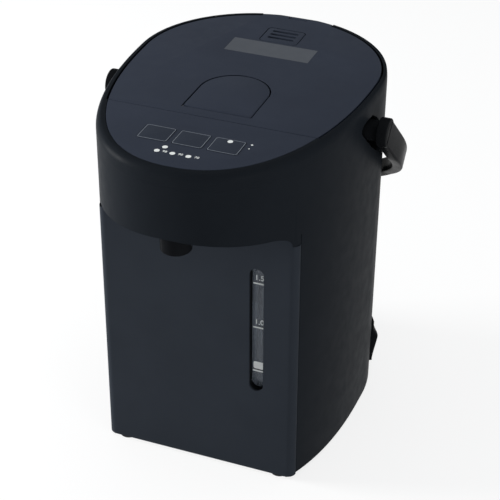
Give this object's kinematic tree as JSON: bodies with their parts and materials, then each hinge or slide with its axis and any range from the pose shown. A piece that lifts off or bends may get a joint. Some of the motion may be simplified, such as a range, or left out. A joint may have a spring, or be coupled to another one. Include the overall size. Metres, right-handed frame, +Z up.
{
  "type": "electric thermo pot",
  "caption": "Electric hot-water dispensing pot: oval upright body, overhanging head with buttons and nozzle, rear-hinged flush lid, side water gauge and folding carry handle.",
  "frame": {"origin": "on the resting surface, below the centre of the outline with the handle folded back", "axes": "+Z up, dispensing side and nozzle towards -Y, lid hinge towards +Y, water gauge and power inlet on the +X side"},
  "size_m": [0.2164, 0.2786, 0.2753],
  "materials": {
    "casing_black": "fine satin grain",
    "panel_black": "fine leather-like grain",
    "gloss_black": "polished",
    "top_slate": "fine satin grain",
    "button_slate": "satin",
    "lens_white": "diffusing",
    "board_green": "solder mask",
    "component_dark": "moulded",
    "moulded_white": "natural moulding",
    "steel": "brushed",
    "silicone": "soft matt",
    "pin_steel": "polished",
    "label_grey": "anodised",
    "gauge_clear": "clear",
    "scale_grey": "satin",
    "motor_can": "plated",
    "bracket_grey": "moulded",
    "felt": "needled felt",
    "heater_alloy": "cast",
    "rubber_black": "matt",
    "contact_brass": "plated",
    "wire_red": "insulated"
  },
  "bodies": {
    "casing": {"body_shell": "casing_black", "front_panel": "panel_black", "head_underside": "gloss_black", "shoulder_ring": "casing_black", "control_panel": "top_slate", "indicator_lenses": "lens_white", "control_board": "board_green", "tact_switches": "component_dark", "lid_hinge_pin": "pin_steel", "handle_pins": "gloss_black", "handle_sockets": "gloss_black", "nozzle": "gloss_black", "spout_pipe": "silicone", "tip_over_valve": "moulded_white", "gauge_tube": "gauge_clear", "gauge_bezel": "gloss_black", "gauge_window": "gauge_clear", "gauge_scale_plate": "scale_grey", "delivery_hose": "silicone", "pump_casing": "moulded_white", "impeller_pin": "pin_steel", "pump_motor": "motor_can", "motor_bracket": "bracket_grey", "inner_container": "steel", "container_gasket": "silicone", "insulation_jacket": "felt", "base_heater": "heater_alloy", "temperature_sensor": "motor_can", "container_posts": "bracket_grey", "base_plate": "casing_black", "base_screws": "pin_steel", "rubber_feet": "rubber_black", "inlet_housing": "gloss_black", "inlet_pins": "contact_brass", "power_board": "board_green", "board_parts": "component_dark", "wiring_harness": "wire_red"},
    "lid": {"lid_cover": "top_slate", "lid_base": "moulded_white", "lid_inner_plate": "steel", "lid_gasket": "silicone", "lever_pin": "pin_steel", "lever_spring": "pin_steel", "steam_vent_cover": "top_slate", "steam_duct": "moulded_white", "lid_label_plate": "label_grey"},
    "lever": {"lid_lever": "button_slate"},
    "latch": {"lid_latch": "moulded_white"},
    "handle": {"handle": "gloss_black"},
    "keep_warm": {"keep_warm_button": "button_slate"},
    "dispense": {"dispense_button": "button_slate"},
    "unlock": {"unlock_button": "button_slate", "lock_lens": "lens_white"},
    "ball": {"valve_ball": "pin_steel"},
    "rotor": {"motor_rotor": "motor_can"},
    "impeller": {"pump_impeller": "component_dark"}
  },
  "joints": [
    {"name": "lid_hinge", "type": "hinge", "parent": "casing", "child": "lid", "pos_m": [0, 0.11454, 0.2721], "axis": [-1, 0, 0], "range_deg": [0, 85]},
    {"name": "lever_lift", "type": "hinge", "parent": "lid", "child": "lever", "pos_m": [0, -0.04906, 0.2725], "axis": [1, 0, 0], "range_deg": [0, 35], "stiffness_Nm_per_rad": 0.05, "springref_deg": -20.05},
    {"name": "latch_slide", "type": "slide", "parent": "lid", "child": "latch", "axis": [0, 1, 0], "range_m": [0, 0.0018]},
    {"name": "handle_swing", "type": "hinge", "parent": "casing", "child": "handle", "pos_m": [0, 0.00474, 0.2515], "axis": [1, 0, 0], "range_deg": [0, 150]},
    {"name": "keep_warm_press", "type": "slide", "parent": "casing", "child": "keep_warm", "axis": [0, 0, -1], "range_m": [0, 0.0008], "stiffness_N_per_m": 400, "springref_m": -0.001},
    {"name": "dispense_press", "type": "slide", "parent": "casing", "child": "dispense", "axis": [0, 0, -1], "range_m": [0, 0.0008], "stiffness_N_per_m": 400, "springref_m": -0.001},
    {"name": "unlock_press", "type": "slide", "parent": "casing", "child": "unlock", "axis": [0, 0, -1], "range_m": [0, 0.0008], "stiffness_N_per_m": 400, "springref_m": -0.001},
    {"name": "ball_lift", "type": "slide", "parent": "casing", "child": "ball", "axis": [0, 0, 1], "range_m": [0, 0.0044]},
    {"name": "motor_spin", "type": "hinge", "parent": "casing", "child": "rotor", "pos_m": [-0.03, -0.00826, 0.02], "axis": [0, 0, 1], "continuous": true},
    {"name": "impeller_spin", "type": "hinge", "parent": "casing", "child": "impeller", "pos_m": [-0.03, -0.00826, 0.038], "axis": [0, 0, 1], "continuous": true}
  ],
  "couplings": [
    {"joint": "latch_slide", "follows": "lever_lift", "m_per_rad": 0.0029},
    {"joint": "impeller_spin", "follows": "motor_spin", "ratio": 1}
  ]
}
